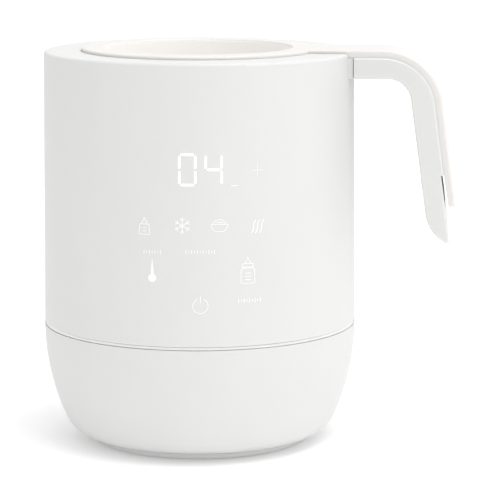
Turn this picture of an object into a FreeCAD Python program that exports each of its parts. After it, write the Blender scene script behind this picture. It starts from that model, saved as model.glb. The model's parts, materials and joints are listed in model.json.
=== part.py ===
import FreeCAD, Part
import math
import os
import Sketcher

# A countertop bottle warmer: a round housing in two shells around a heated water tank, and a
# basket with a hooked handle that lifts straight out of the tank.
# Millimetres. The origin is on the table, at the middle of the foot ring. +Z is up, the display
# faces -Y, and the handle leaves the rim on the +X side, turned a little towards the front.

LEFT = 1
RIGHT = -1

document = FreeCAD.newDocument("BottleWarmer")
sheet = document.addObject("Spreadsheet::Sheet", "Sizes")


class Size:
    """A number together with the spreadsheet formula that gives it."""

    def __init__(self, value, formula, driven=True):
        self.value = float(value)
        self.formula = formula
        self.driven = driven

    def joined(self, other, sign, value):
        other = as_size(other)
        formula = f"({self.formula} {sign} {other.formula})"
        return Size(value, formula, self.driven or other.driven)

    def __add__(self, other):
        return self.joined(other, "+", self.value + as_size(other).value)

    def __sub__(self, other):
        return self.joined(other, "-", self.value - as_size(other).value)

    def __mul__(self, other):
        return self.joined(other, "*", self.value * as_size(other).value)

    def __truediv__(self, other):
        return self.joined(other, "/", self.value / as_size(other).value)

    def __radd__(self, other):
        return as_size(other) + self

    def __rsub__(self, other):
        return as_size(other) - self

    def __rmul__(self, other):
        return as_size(other) * self

    def __neg__(self):
        return as_size(0) - self


def as_size(item):
    return item if isinstance(item, Size) else Size(item, f"{float(item)}", False)


def worked_out(name, value, size):
    return Size(value, f"{name}({size.formula})", size.driven)


def sine(angle):
    return worked_out("sin", math.sin(math.radians(angle.value)), angle)


def cosine(angle):
    return worked_out("cos", math.cos(math.radians(angle.value)), angle)


def tangent(angle):
    return worked_out("tan", math.tan(math.radians(angle.value)), angle)


def root(size):
    return worked_out("sqrt", math.sqrt(size.value), size)


def cell(alias, value, meaning):
    """Writes one driving dimension to the sheet: its meaning beside its number."""
    cell.row += 1
    sheet.set(f"A{cell.row}", meaning)
    sheet.set(f"B{cell.row}", f"{value}")
    sheet.setAlias(f"B{cell.row}", alias)
    return Size(value, f"Sizes.{alias}")


cell.row = 0

# Housing shells
rim_radius = cell("rim_radius", 65.0, "outside of the upper housing at the rim")
skirt_radius = cell("skirt_radius", 66.0, "outside of the upper housing at the seam")
wall = cell("wall", 2.4, "thickness of the moulded shells")
deck_height = cell("deck_height", 165.4, "flat top of the housing")
rim_round = cell("rim_round", 1.2, "rounding between wall and deck")
seam_height = cell("seam_height", 50.2, "top edge of the bowl")
seam_gap = cell("seam_gap", 1.5, "height of the seam between the shells")
bowl_radius = cell("bowl_radius", 66.1, "outside of the bowl at the seam")
side_radius = cell("side_radius", 97.3, "long arc of the bowl's side")
heel_radius = cell("heel_radius", 10.8, "short arc between the bowl's side and its floor")
bowl_bottom = cell("bowl_bottom", 3.4, "underside of the bowl")
lip_rise = cell("lip_rise", 5.0, "bowl lip standing inside the upper housing")
base_radius = cell("base_radius", 47.3, "base cover")
base_bottom = cell("base_bottom", 0.8, "underside of the base cover above the table")
foot_outer = cell("foot_outer", 43.0, "outside of the rubber foot ring")
foot_inner = cell("foot_inner", 36.0, "inside of the rubber foot ring")
foot_pocket = cell("foot_pocket", 1.2, "depth that the foot ring is let into the cover")
foot_play = cell("foot_play", 0.2, "room on each side of the foot ring in its groove")
foot_bevel = cell("foot_bevel", 0.4, "bevel of the foot ring's lower edges")

# Well and basket
opening_radius = cell("opening_radius", 49.6, "opening in the deck")
well_radius = cell("well_radius", 39.0, "inside of the basket, for the bottle")
basket_wall = cell("basket_wall", 1.8, "thickness of the basket's cup")
basket_floor = cell("basket_floor", 80.0, "floor of the basket")
flange_radius = cell("flange_radius", 49.3, "outside of the basket's ring")
flange_top = cell("flange_top", 166.9, "top of the basket's ring")
strap_thickness = cell("strap_thickness", 3.1, "ring and strap")
ledge_radius = cell("ledge_radius", 44.5, "inner edge of the ledge that the ring sits on")
tank_radius = cell("tank_radius", 44.0, "inside of the water tank")
tank_wall = cell("tank_wall", 1.0, "sheet of the water tank")
tank_bottom = cell("tank_bottom", 70.0, "underside of the water tank")

# Handle
handle_angle = cell("handle_angle", -6.0, "direction of the handle from +X, in degrees")
strap_width = cell("strap_width", 30.0, "width of the strap")
grip_width = cell("grip_width", 32.0, "width of the grip")
bend_start = cell("bend_start", 77.5, "radius where the strap starts to bend down")
bend_radius = cell("bend_radius", 25.0, "outside of the strap's bend")
leg_lean = cell("leg_lean", 7.7, "lean of the leg from upright, in degrees")
tail_length = cell("tail_length", 43.1, "strap below its bend")
tail_thickness = cell("tail_thickness", 2.75, "end of the strap's tail")
grip_start = cell("grip_start", 65.6, "inner end of the grip")
arm_thickness = cell("arm_thickness", 8.65, "grip under the level part of the strap")
leg_thickness = cell("leg_thickness", 9.55, "grip behind the leaning part of the strap")
slot_start = cell("slot_start", 29.6, "distance down the leg to the slot under the tail")
slot_gap = cell("slot_gap", 1.1, "slot between the tail and the grip")
inner_bend = cell("inner_bend", 9.7, "inside of the grip's bend")
heel_start = cell("heel_start", 44.9, "distance down the leg to the curve of the tip")
tip_radius = cell("tip_radius", 15.8, "curve of the tip's inner face")
tip_nose = cell("tip_nose", 1.2, "rounding at the very end of the tip")
edge_round = cell("edge_round", 0.8, "rounding of the strap's and the grip's edges")
notch_play = cell("notch_play", 0.3, "room on each side of the strap in the rim")
grip_gap = cell("grip_gap", 0.25, "between the grip's inner end and its rest on the housing")
grip_screw_radius = cell("grip_screw_radius", 72.5, "how far out the grip's screws sit")
grip_screw_side = cell("grip_screw_side", 9.0, "how far the grip's screws sit off its middle")

# Inner frame
chassis_bottom = cell("chassis_bottom", 46.0, "underside of the chassis")
chassis_top = cell("chassis_top", 48.4, "top of the chassis")
chassis_radius = cell("chassis_radius", 60.6, "outside of the chassis")
boss_circle = cell("boss_circle", 57.0, "circle of the bosses that carry the chassis")
tower_place = cell("tower_place", 29.5, "housing screws, along X and along Y")
tower_top = cell("tower_top", 24.0, "where the bowl's towers meet the chassis posts")
pillar_circle = cell("pillar_circle", 41.0, "circle of the pillars under the heater")
pillar_top = cell("pillar_top", 61.4, "top of the pillars")
shield_sheet = cell("shield_sheet", 0.6, "sheet of the heat shield")
plate_bottom = cell("plate_bottom", 62.0, "underside of the heater plate")
element_circle = cell("element_circle", 26.0, "circle of the heating element")
element_radius = cell("element_radius", 3.3, "heating element")
retainer_circle = cell("retainer_circle", 54.5, "circle of the retainer's screws")

# Boards
board_sheet = cell("board_sheet", 1.6, "circuit board")
main_board_bottom = cell("main_board_bottom", 14.0, "underside of the main board")
main_board_length = cell("main_board_length", 78.0, "main board along X")
main_board_width = cell("main_board_width", 46.0, "main board along Y")
display_back = cell("display_back", 53.0, "back of the display board, in front of the axis")
display_width = cell("display_width", 56.0, "display board")
display_low = cell("display_low", 60.0, "lower edge of the display board")
display_high = cell("display_high", 137.0, "upper edge of the display board")
display_post_side = cell("display_post_side", 24.5, "display posts, off the middle")
display_post_low = cell("display_post_low", 64.0, "lower display posts")
display_post_high = cell("display_post_high", 133.0, "upper display posts")
mask_radius = cell("mask_radius", 62.3, "curved front of the light mask")
inlet_height = cell("inlet_height", 17.0, "height of the mains inlet")
inlet_seat = cell("inlet_seat", 55.5, "flat seat of the inlet's bush, behind the axis")
inlet_bore = cell("inlet_bore", 3.3, "bore for the mains lead")

# The middle of each lit symbol behind the wall: how far right of the middle, and how high
ICON_SPOTS = (
    (-22.2, 100.4),
    (-7.0, 101.0),
    (7.9, 101.0),
    (23.3, 100.2),
    (23.3, 122.7),
    (-19.1, 82.6),
    (19.3, 82.3),
    (0.2, 69.0),
)
TOUCH_SPOTS = ICON_SPOTS[:5] + ICON_SPOTS[7:]


# ---------------------------------------------------------------------------- drawing helpers


def bind(item, path, size):
    """Gives a property its formula from the sheet."""
    item.setExpression(path, as_size(size).formula)


def turned(radius, angle, middle=(0, 0)):
    """The point at an angle in degrees on a circle around the middle."""
    radius = as_size(radius)
    direction = math.radians(angle)
    return middle[0] + radius * math.cos(direction), middle[1] + radius * math.sin(direction)


def ring_of(count, radius, first=0.0):
    return [turned(radius, first + 360.0 * index / count) for index in range(count)]


def four_corners(across, along):
    return [(across * i, along * j) for i in (-1, 1) for j in (-1, 1)]


def new_body(label):
    return document.addObject("PartDesign::Body", label)


def new_sketch(body, role, name, height=0, turn=None):
    """A sketch on one of the body's own planes, moved along its normal and turned about it."""
    sketch = body.newObject("Sketcher::SketchObject", name)
    plane = [feature for feature in body.Origin.OriginFeatures if feature.Role == role][0]
    sketch.AttachmentSupport = (plane, [""])
    sketch.MapMode = "FlatFace"
    height = as_size(height)
    degrees = as_size(0 if turn is None else turn)
    rotation = FreeCAD.Rotation(FreeCAD.Vector(0, 0, 1), degrees.value)
    sketch.AttachmentOffset = FreeCAD.Placement(FreeCAD.Vector(0, 0, height.value), rotation)
    if height.driven:
        bind(sketch, "AttachmentOffset.Base.z", height)
    return sketch


class Rules:
    """Collects a sketch's constraints and then adds them in one go."""

    def __init__(self, sketch):
        self.sketch = sketch
        self.constraints = []
        self.formulas = []

    def add(self, constraint, size=None):
        if size is not None and size.driven:
            self.formulas.append((len(self.constraints), size.formula))
        self.constraints.append(constraint)

    def place(self, geometry, point, across, up):
        """Pins a point at its distances from the sketch's origin."""
        for kind, axis, size in (("DistanceX", -2, across), ("DistanceY", -1, up)):
            if abs(size.value) < 1e-9:
                self.add(Sketcher.Constraint("PointOnObject", geometry, point, axis))
            else:
                self.add(Sketcher.Constraint(kind, -1, 1, geometry, point, size.value), size)

    def finish(self):
        first = self.sketch.ConstraintCount
        self.sketch.addConstraint(self.constraints)
        for index, formula in self.formulas:
            self.sketch.setExpression(f"Constraints[{first + index}]", formula)


def arc_between(start, end, radius, turn):
    """The shorter arc from start to end that turns left or right."""
    chord = end - start
    middle = (start + end) * 0.5
    reach = math.sqrt(radius**2 - (chord.Length / 2) ** 2)
    aside = FreeCAD.Vector(-chord.y, chord.x, 0) * (turn * reach / chord.Length)
    centre = middle + aside
    first, last = (start, end) if turn == LEFT else (end, start)
    angles = [math.atan2(point.y - centre.y, point.x - centre.x) for point in (first, last)]
    if angles[1] < angles[0]:
        angles[1] += 2 * math.pi
    return Part.ArcOfCircle(Part.Circle(centre, FreeCAD.Vector(0, 0, 1), radius), *angles)


def draw_outline(sketch, corners):
    """A closed outline. A corner is (x, y), or (x, y, radius, LEFT or RIGHT) at an arc's end."""
    rules = Rules(sketch)
    corners = [[as_size(item) for item in corner[:3]] + list(corner[3:]) for corner in corners]
    points = [FreeCAD.Vector(corner[0].value, corner[1].value, 0) for corner in corners]
    pieces = []
    for index, corner in enumerate(corners):
        start = points[index - 1]
        end = points[index]
        if len(corner) == 2:
            geometry = sketch.addGeometry(Part.LineSegment(start, end), False)
            pieces.append((geometry, 1, 2))
            continue
        radius, turn = corner[2:]
        geometry = sketch.addGeometry(arc_between(start, end, radius.value, turn), False)
        pieces.append((geometry, 1, 2) if turn == LEFT else (geometry, 2, 1))
        rules.add(Sketcher.Constraint("Radius", geometry, radius.value), radius)
    for index, (geometry, _, last) in enumerate(pieces):
        following, first, _ = pieces[(index + 1) % len(pieces)]
        rules.add(Sketcher.Constraint("Coincident", geometry, last, following, first))
        rules.place(geometry, last, corners[index][0], corners[index][1])
    rules.finish()


def draw_rectangle(sketch, left, right, low, high):
    draw_outline(sketch, [(left, low), (right, low), (right, high), (left, high)])


def draw_circles(sketch, radius, middles):
    rules = Rules(sketch)
    radius = as_size(radius)
    for middle in middles:
        across, up = as_size(middle[0]), as_size(middle[1])
        circle = Part.Circle(
            FreeCAD.Vector(across.value, up.value, 0), FreeCAD.Vector(0, 0, 1), radius.value
        )
        geometry = sketch.addGeometry(circle, False)
        rules.place(geometry, 3, across, up)
        rules.add(Sketcher.Constraint("Radius", geometry, radius.value), radius)
    rules.finish()


def revolve(body, name, corners, kind="PartDesign::Revolution"):
    """Turns an outline in the XZ plane about Z."""
    sketch = new_sketch(body, "XZ_Plane", f"{name}_profile")
    draw_outline(sketch, corners)
    feature = body.newObject(kind, name)
    feature.Profile = sketch
    feature.ReferenceAxis = (sketch, ["V_Axis"])
    feature.Angle = 360
    return feature


def extrude(body, name, sketch, length, kind="PartDesign::Pad", reverse=False, both=False):
    feature = body.newObject(kind, name)
    feature.Profile = sketch
    length = as_size(length)
    feature.Length = length.value
    if length.driven:
        bind(feature, "Length", length)
    feature.SideType = "Symmetric" if both else "One side"
    feature.Reversed = reverse
    return feature


def raise_circles(body, name, radius, middles, low, high, role="XY_Plane"):
    """Round posts from one height to another along the plane's normal."""
    sketch = new_sketch(body, role, f"{name}_sketch", low)
    draw_circles(sketch, radius, middles)
    return extrude(body, name, sketch, as_size(high) - low)


def drill(body, name, radius, middles, low, high, role="XY_Plane"):
    """Round holes from one height to another along the plane's normal."""
    sketch = new_sketch(body, role, f"{name}_sketch", high)
    draw_circles(sketch, radius, middles)
    return extrude(body, name, sketch, as_size(high) - low, "PartDesign::Pocket")


def cut_rectangle(body, name, left, right, back, front, low, high, turn=None, role="XY_Plane"):
    sketch = new_sketch(body, role, f"{name}_sketch", high, turn)
    draw_rectangle(sketch, left, right, back, front)
    return extrude(body, name, sketch, as_size(high) - low, "PartDesign::Pocket")


def raise_rectangle(body, name, left, right, back, front, low, high, turn=None):
    sketch = new_sketch(body, "XY_Plane", f"{name}_sketch", low, turn)
    draw_rectangle(sketch, left, right, back, front)
    return extrude(body, name, sketch, as_size(high) - low)


def edges_where(shape, test):
    return [f"Edge{index + 1}" for index, edge in enumerate(shape.Edges) if test(edge)]


def round_edges(body, name, base, radius, test, kind="PartDesign::Fillet"):
    """Rounds or bevels the edges that pass the test."""
    document.recompute()
    feature = body.newObject(kind, name)
    feature.Base = (base, edges_where(base.Shape, test))
    bind(feature, "Radius" if kind == "PartDesign::Fillet" else "Size", radius)
    return feature


def move_to(item, spot, rotation=None):
    """Sets an item's Placement, and ties it to the sheet where its place depends on it."""
    values = [as_size(size).value for size in spot]
    item.Placement = FreeCAD.Placement(FreeCAD.Vector(*values), rotation or FreeCAD.Rotation())
    for axis, size in zip("xyz", spot):
        if as_size(size).driven:
            bind(item, f"Placement.Base.{axis}", size)


def block(name, low, high):
    """A box between two opposite corners."""
    item = document.addObject("Part::Box", name)
    for prop, start, end in zip(("Length", "Width", "Height"), low, high):
        bind(item, prop, as_size(end) - start)
    move_to(item, low)
    return item


UPRIGHT = FreeCAD.Rotation()
TO_FRONT = FreeCAD.Rotation(FreeCAD.Vector(1, 0, 0), 90)
TO_BACK = FreeCAD.Rotation(FreeCAD.Vector(1, 0, 0), -90)
DOWNWARD = FreeCAD.Rotation(FreeCAD.Vector(1, 0, 0), 180)


def rod(name, radius, length, start, rotation=UPRIGHT):
    """A cylinder that starts at a point and runs up, or where the rotation turns it."""
    item = document.addObject("Part::Cylinder", name)
    bind(item, "Radius", radius)
    bind(item, "Height", length)
    move_to(item, start, rotation)
    return item


def cut(name, base, tool):
    item = document.addObject("Part::Cut", name)
    item.Base = base
    item.Tool = tool
    return item


def fuse(name, base, tool):
    item = document.addObject("Part::Fuse", name)
    item.Base = base
    item.Tool = tool
    return item


def group(label, members):
    item = document.addObject("Part::Compound", label)
    item.Links = members
    return item


def screw(name, head_radius, head_height, shank_radius, shank_length, spot, rotation):
    """A pan-head screw with a cross recess. Its head's seat is at the spot."""
    shank = rod(f"{name}_shank", shank_radius, shank_length, (0, 0, 0))
    head = rod(f"{name}_head", head_radius, head_height, (0, 0, -as_size(head_height)))
    item = fuse(f"{name}_blank", shank, head)
    arm = head_radius * 0.6
    slit = head_radius * 0.14
    depth = head_height * 0.55
    top = -head_height
    for label, across, along in (("first", arm, slit), ("second", slit, arm)):
        tool = block(
            f"{name}_{label}_slot", (-across, -along, top - 0.1), (across, along, top + depth)
        )
        item = cut(f"{name}_{label}_cut", item, tool)
    move_to(item, spot, rotation)
    return item


def screws(label, sizes, spots, rotation=UPRIGHT):
    """One node of identical screws. The rotation turns their tips from +Z."""
    members = []
    for index, spot in enumerate(spots):
        members.append(screw(f"{label}_{index + 1}", *sizes, spot, rotation))
    return group(label, members)


def at_height(middles, height):
    return [(across, along, height) for across, along in middles]


# ------------------------------------------------------------------------------------- housing

# Radii of screw holes: a pilot is cut into by the thread, a clearance hole lets the shank through
SMALL_PILOT = 1.05
SMALL_CLEARANCE = 1.3
LARGE_PILOT = 1.3
LARGE_CLEARANCE = 1.6

TOWERS = four_corners(tower_place, tower_place)
BOSS_SPOTS = ring_of(4, boss_circle, 45.0)
RETAINER_SPOTS = ring_of(6, retainer_circle, 30.0)
screw_seat = tower_top - 8.0
ledge_height = flange_top - strap_thickness
deck_underside = deck_height - wall
ledge_underside = ledge_height - wall
notch_floor = ledge_height - 0.3
skirt_bottom = seam_height + seam_gap
tank_flange_top = ledge_underside - 1.0
retainer_bottom = tank_flange_top - tank_wall - 2.5
retainer_top = tank_flange_top - tank_wall


def upper_housing():
    body = new_body("upper_housing")
    revolve(
        body,
        "upper_shell",
        [
            (skirt_radius, skirt_bottom),
            (rim_radius, deck_height - rim_round),
            (rim_radius - rim_round, deck_height, rim_round, LEFT),
            (opening_radius, deck_height),
            (opening_radius, ledge_height),
            (ledge_radius, ledge_height),
            (ledge_radius, ledge_underside),
            (opening_radius + wall, ledge_underside),
            (opening_radius + wall, deck_underside),
            (rim_radius - wall, deck_underside),
            (skirt_radius - wall, skirt_bottom),
        ],
    )
    saddle = strap_width / 2 + 2.5
    raise_rectangle(
        body, "saddle", opening_radius - 1, 61.0, -saddle, saddle, ledge_underside,
        deck_underside + 0.5, handle_angle,
    )
    half_notch = strap_width / 2 + notch_play
    cut_rectangle(
        body, "notch", flange_radius - 3, skirt_radius + 4, -half_notch, half_notch,
        notch_floor, deck_height + 1, handle_angle,
    )
    half_rest = grip_width / 2 - edge_round
    raise_rectangle(
        body, "grip_rest", rim_radius - 2.0, grip_start - grip_gap, -half_rest, half_rest,
        ledge_height - arm_thickness, ledge_height - 0.15, handle_angle,
    )
    raise_circles(body, "retainer_bosses", 3.2, RETAINER_SPOTS, retainer_top, deck_underside + 0.5)
    drill(body, "retainer_holes", SMALL_PILOT, RETAINER_SPOTS, retainer_top, deck_underside - 0.4)
    for index, angle in enumerate((45.0, 135.0, 225.0, 315.0)):
        raise_rectangle(
            body, f"boss_rib_{index + 1}", boss_circle, skirt_radius - wall + 0.6, -1.2, 1.2,
            seam_height + lip_rise + 0.8, 70.0, as_size(angle),
        )
    raise_circles(body, "chassis_bosses", 3.6, BOSS_SPOTS, chassis_top, 70.0)
    drill(body, "chassis_holes", LARGE_PILOT, BOSS_SPOTS, chassis_top, chassis_top + 12.0)
    raise_circles(body, "display_posts", 2.8, DISPLAY_POSTS, display_front, 59.2, "XZ_Plane")
    drill(body, "display_holes", SMALL_PILOT, DISPLAY_POSTS, display_front, 58.2, "XZ_Plane")
    return body


heel_sine = (seam_height - bowl_bottom - heel_radius) / (side_radius - heel_radius)
heel_cosine = root(1 - heel_sine * heel_sine)
side_centre = bowl_radius - side_radius
heel_centre = side_centre + (side_radius - heel_radius) * heel_cosine
bowl_floor = bowl_bottom + wall


def bowl_side(inset):
    """Where the long side arc meets the heel arc, on a skin set in from the outside."""
    reach = side_radius - inset
    return side_centre + reach * heel_cosine, seam_height - reach * heel_sine


def lower_housing():
    body = new_body("lower_housing")
    outer_joint = bowl_side(0)
    inner_joint = bowl_side(wall)
    lip_outer = skirt_radius - wall - 0.4
    lip_inner = lip_outer - 2.2
    lip_root = seam_height - 6.0
    lip_foot = seam_height - 9.0
    inner_reach = side_radius - wall
    lip_foot_drop = seam_height - lip_foot
    foot_radius_inside = side_centre + root(inner_reach * inner_reach - lip_foot_drop * lip_foot_drop)
    revolve(
        body,
        "bowl_shell",
        [
            (0, bowl_bottom),
            (heel_centre, bowl_bottom),
            (*outer_joint, heel_radius, LEFT),
            (bowl_radius, seam_height, side_radius, LEFT),
            (lip_outer, seam_height),
            (lip_outer, seam_height + lip_rise),
            (lip_inner, seam_height + lip_rise),
            (lip_inner, lip_root),
            (foot_radius_inside, lip_foot),
            (*inner_joint, inner_reach, RIGHT),
            (heel_centre, bowl_floor, heel_radius - wall, RIGHT),
            (0, bowl_floor),
        ],
    )
    raise_circles(body, "towers", 5.0, TOWERS, bowl_floor - 0.8, tower_top)
    drill(body, "tower_counterbores", 3.2, TOWERS, bowl_bottom - 1, screw_seat)
    drill(body, "tower_holes", LARGE_CLEARANCE, TOWERS, screw_seat - 0.5, tower_top + 1)
    raise_circles(body, "board_posts", 3.0, BOARD_POSTS, bowl_floor - 0.8, main_board_bottom)
    drill(body, "board_holes", SMALL_PILOT, BOARD_POSTS, main_board_bottom - 7.0, main_board_bottom + 1)
    for index, angle in enumerate((0.0, 90.0, 180.0, 270.0)):
        cut_rectangle(
            body, f"hook_slot_{index + 1}", 28.0, 31.4, -4.3, 4.3, bowl_bottom - 1, bowl_floor + 1,
            as_size(angle),
        )
    seat = [(0, inlet_height)]
    raise_circles(body, "inlet_boss", 10.0, seat, -inlet_seat, -(inlet_seat - 5.0), "XZ_Plane")
    drill(body, "inlet_recess", 8.5, seat, -(skirt_radius + 4), -inlet_seat, "XZ_Plane")
    drill(body, "inlet_hole", 5.5, seat, -(skirt_radius + 4), -(inlet_seat - 6.0), "XZ_Plane")
    return body


def seam_gasket():
    """A thin band set back between the shells, with a fine shadow line above and below it."""
    body = new_body("seam_gasket")
    inner = skirt_radius - wall - 0.2
    neck = inner + 1.3
    face = skirt_radius - 0.3
    shadow = 0.2
    revolve(
        body,
        "gasket_ring",
        [
            (inner, seam_height),
            (neck, seam_height),
            (neck, seam_height + shadow),
            (face, seam_height + shadow),
            (face, skirt_bottom - shadow),
            (neck, skirt_bottom - shadow),
            (neck, skirt_bottom),
            (inner, skirt_bottom),
        ],
    )
    return body


def base_cover():
    body = new_body("base_cover")
    edge = 1.0
    shadow = 0.5
    revolve(
        body,
        "cover_disc",
        [
            (0, base_bottom),
            (base_radius - edge, base_bottom),
            (base_radius, base_bottom + edge, edge, LEFT),
            (base_radius, bowl_bottom - shadow),
            (base_radius - 1.4, bowl_bottom - shadow),
            (base_radius - 1.4, bowl_bottom),
            (0, bowl_bottom),
        ],
    )
    for index, angle in enumerate((0.0, 90.0, 180.0, 270.0)):
        turn = as_size(angle)
        raise_rectangle(
            body, f"hook_stem_{index + 1}", 28.4, 29.8, -4.0, 4.0, bowl_bottom - 0.5,
            bowl_floor + 1.6, turn,
        )
        raise_rectangle(
            body, f"hook_barb_{index + 1}", 28.4, 32.2, -4.0, 4.0, bowl_floor + 0.1,
            bowl_floor + 1.6, turn,
        )
    revolve(
        body,
        "foot_groove",
        [
            (foot_inner - foot_play, base_bottom - 1),
            (foot_outer + foot_play, base_bottom - 1),
            (foot_outer + foot_play, base_bottom + foot_pocket),
            (foot_inner - foot_play, base_bottom + foot_pocket),
        ],
        "PartDesign::Groove",
    )
    return body


def foot_ring():
    body = new_body("foot_ring")
    revolve(
        body,
        "ring",
        [
            (foot_inner + foot_bevel, 0),
            (foot_outer - foot_bevel, 0),
            (foot_outer, foot_bevel),
            (foot_outer, base_bottom + foot_pocket),
            (foot_inner, base_bottom + foot_pocket),
            (foot_inner, foot_bevel),
        ],
    )
    return body


def inlet_grommet():
    """A rubber bush with a groove that grips the edge of the rear wall."""
    body = new_body("inlet_grommet")
    sketch = new_sketch(body, "YZ_Plane", "grommet_profile")
    inside = inlet_seat - 5.0
    draw_outline(
        sketch,
        [
            (inside - 1.5, inlet_height + inlet_bore),
            (inlet_seat + 1.5, inlet_height + inlet_bore),
            (inlet_seat + 1.5, inlet_height + 6.2),
            (inlet_seat + 0.7, inlet_height + 7.0, 0.8, LEFT),
            (inlet_seat, inlet_height + 7.0),
            (inlet_seat, inlet_height + 5.3),
            (inside, inlet_height + 5.3),
            (inside, inlet_height + 6.6),
            (inside - 1.5, inlet_height + 6.6),
        ],
    )
    axis = sketch.addGeometry(
        Part.LineSegment(
            FreeCAD.Vector(40, inlet_height.value, 0), FreeCAD.Vector(60, inlet_height.value, 0)
        ),
        True,
    )
    rules = Rules(sketch)
    rules.place(axis, 1, as_size(40), inlet_height)
    rules.place(axis, 2, as_size(60), inlet_height)
    rules.finish()
    feature = body.newObject("PartDesign::Revolution", "grommet_ring")
    feature.Profile = sketch
    feature.ReferenceAxis = (sketch, ["Axis0"])
    feature.Angle = 360
    return body


# ---------------------------------------------------------------------------- basket and handle


def on_leg(depth, distance):
    """A point on the leaning leg: so deep under the strap's outer face, so far down from the bend."""
    reach = bend_radius - depth
    across = bend_start + reach * cosine(leg_lean) + distance * sine(leg_lean)
    up = flange_top - bend_radius + reach * sine(leg_lean) - distance * cosine(leg_lean)
    return across, up


def face_handle(body):
    """Turns a body about Z so that its own +X points along the handle."""
    rotation = FreeCAD.Rotation(FreeCAD.Vector(0, 0, 1), handle_angle.value)
    body.Placement = FreeCAD.Placement(FreeCAD.Vector(0, 0, 0), rotation)
    bind(body, "Placement.Rotation.Angle", handle_angle)


def extrude_across(body, name, corners, width):
    """An outline in the handle's upright plane, given its width to both sides."""
    sketch = new_sketch(body, "XZ_Plane", f"{name}_profile")
    draw_outline(sketch, corners)
    return extrude(body, name, sketch, width, both=True)


GRIP_SCREW_SPOTS = [(grip_screw_radius, grip_screw_side * side) for side in (-1, 1)]
boss_end = ledge_height - 4.8


def lift_basket():
    body = new_body("lift_basket")
    edge = 1.0
    bottom_round = 6.0
    outside = well_radius + basket_wall
    underside = basket_floor - basket_wall
    under = strap_thickness
    root_radius = flange_radius - 3.5
    strap = extrude_across(
        body,
        "strap",
        [
            (root_radius, flange_top - under),
            (bend_start, flange_top - under),
            (*on_leg(under, 0), bend_radius - under, RIGHT),
            on_leg(under, slot_start),
            on_leg(tail_thickness, tail_length),
            on_leg(0, tail_length),
            on_leg(0, 0),
            (bend_start, flange_top, bend_radius, LEFT),
            (root_radius, flange_top),
        ],
        strap_width,
    )
    half_width = strap_width.value / 2
    beyond_ring = flange_radius.value + 1

    def is_long_top_edge(edge):
        middle = edge.valueAt((edge.FirstParameter + edge.LastParameter) / 2)
        on_side = abs(abs(middle.y) - half_width) < 0.01
        outer = [point.value for point in on_leg(0, 0)]
        on_top = abs(middle.z - flange_top.value) < 0.01
        centre = FreeCAD.Vector(bend_start.value, 0, flange_top.value - bend_radius.value)
        flat = FreeCAD.Vector(middle.x, 0, middle.z)
        on_bend = abs((flat - centre).Length - bend_radius.value) < 0.01
        lean = math.radians(leg_lean.value)
        off_leg = (middle.x - outer[0]) * math.cos(lean) + (middle.z - outer[1]) * math.sin(lean)
        on_outer_leg = abs(off_leg) < 0.01 and middle.z < outer[1]
        return on_side and middle.x > beyond_ring and (on_top or on_bend or on_outer_leg)

    rounded = round_edges(body, "strap_edges", strap, edge_round, is_long_top_edge)
    document.recompute()
    if not rounded.isValid():
        raise RuntimeError("the strap's edges can't be rounded")
    revolve(
        body,
        "cup",
        [
            (0, underside),
            (well_radius - bottom_round, underside),
            (outside, basket_floor + bottom_round, bottom_round + basket_wall, LEFT),
            (outside, ledge_height),
            (flange_radius, ledge_height),
            (flange_radius, flange_top - edge),
            (flange_radius - edge, flange_top, edge, LEFT),
            (well_radius + edge, flange_top),
            (well_radius, flange_top - edge, edge, LEFT),
            (well_radius, basket_floor + bottom_round),
            (well_radius - bottom_round, basket_floor, bottom_round, RIGHT),
            (0, basket_floor),
        ],
    )
    raise_circles(body, "strap_bosses", 2.6, GRIP_SCREW_SPOTS, boss_end, ledge_height + 0.5)
    drill(body, "strap_holes", SMALL_PILOT, GRIP_SCREW_SPOTS, boss_end - 1, ledge_height + 0.8)
    drill(body, "middle_drain", 7.0, [(0, 0)], underside - 1, basket_floor + 1)
    drill(body, "outer_drains", 4.0, ring_of(6, 21.0, 30.0), underside - 1, basket_floor + 1)
    face_handle(body)
    return body


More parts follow.
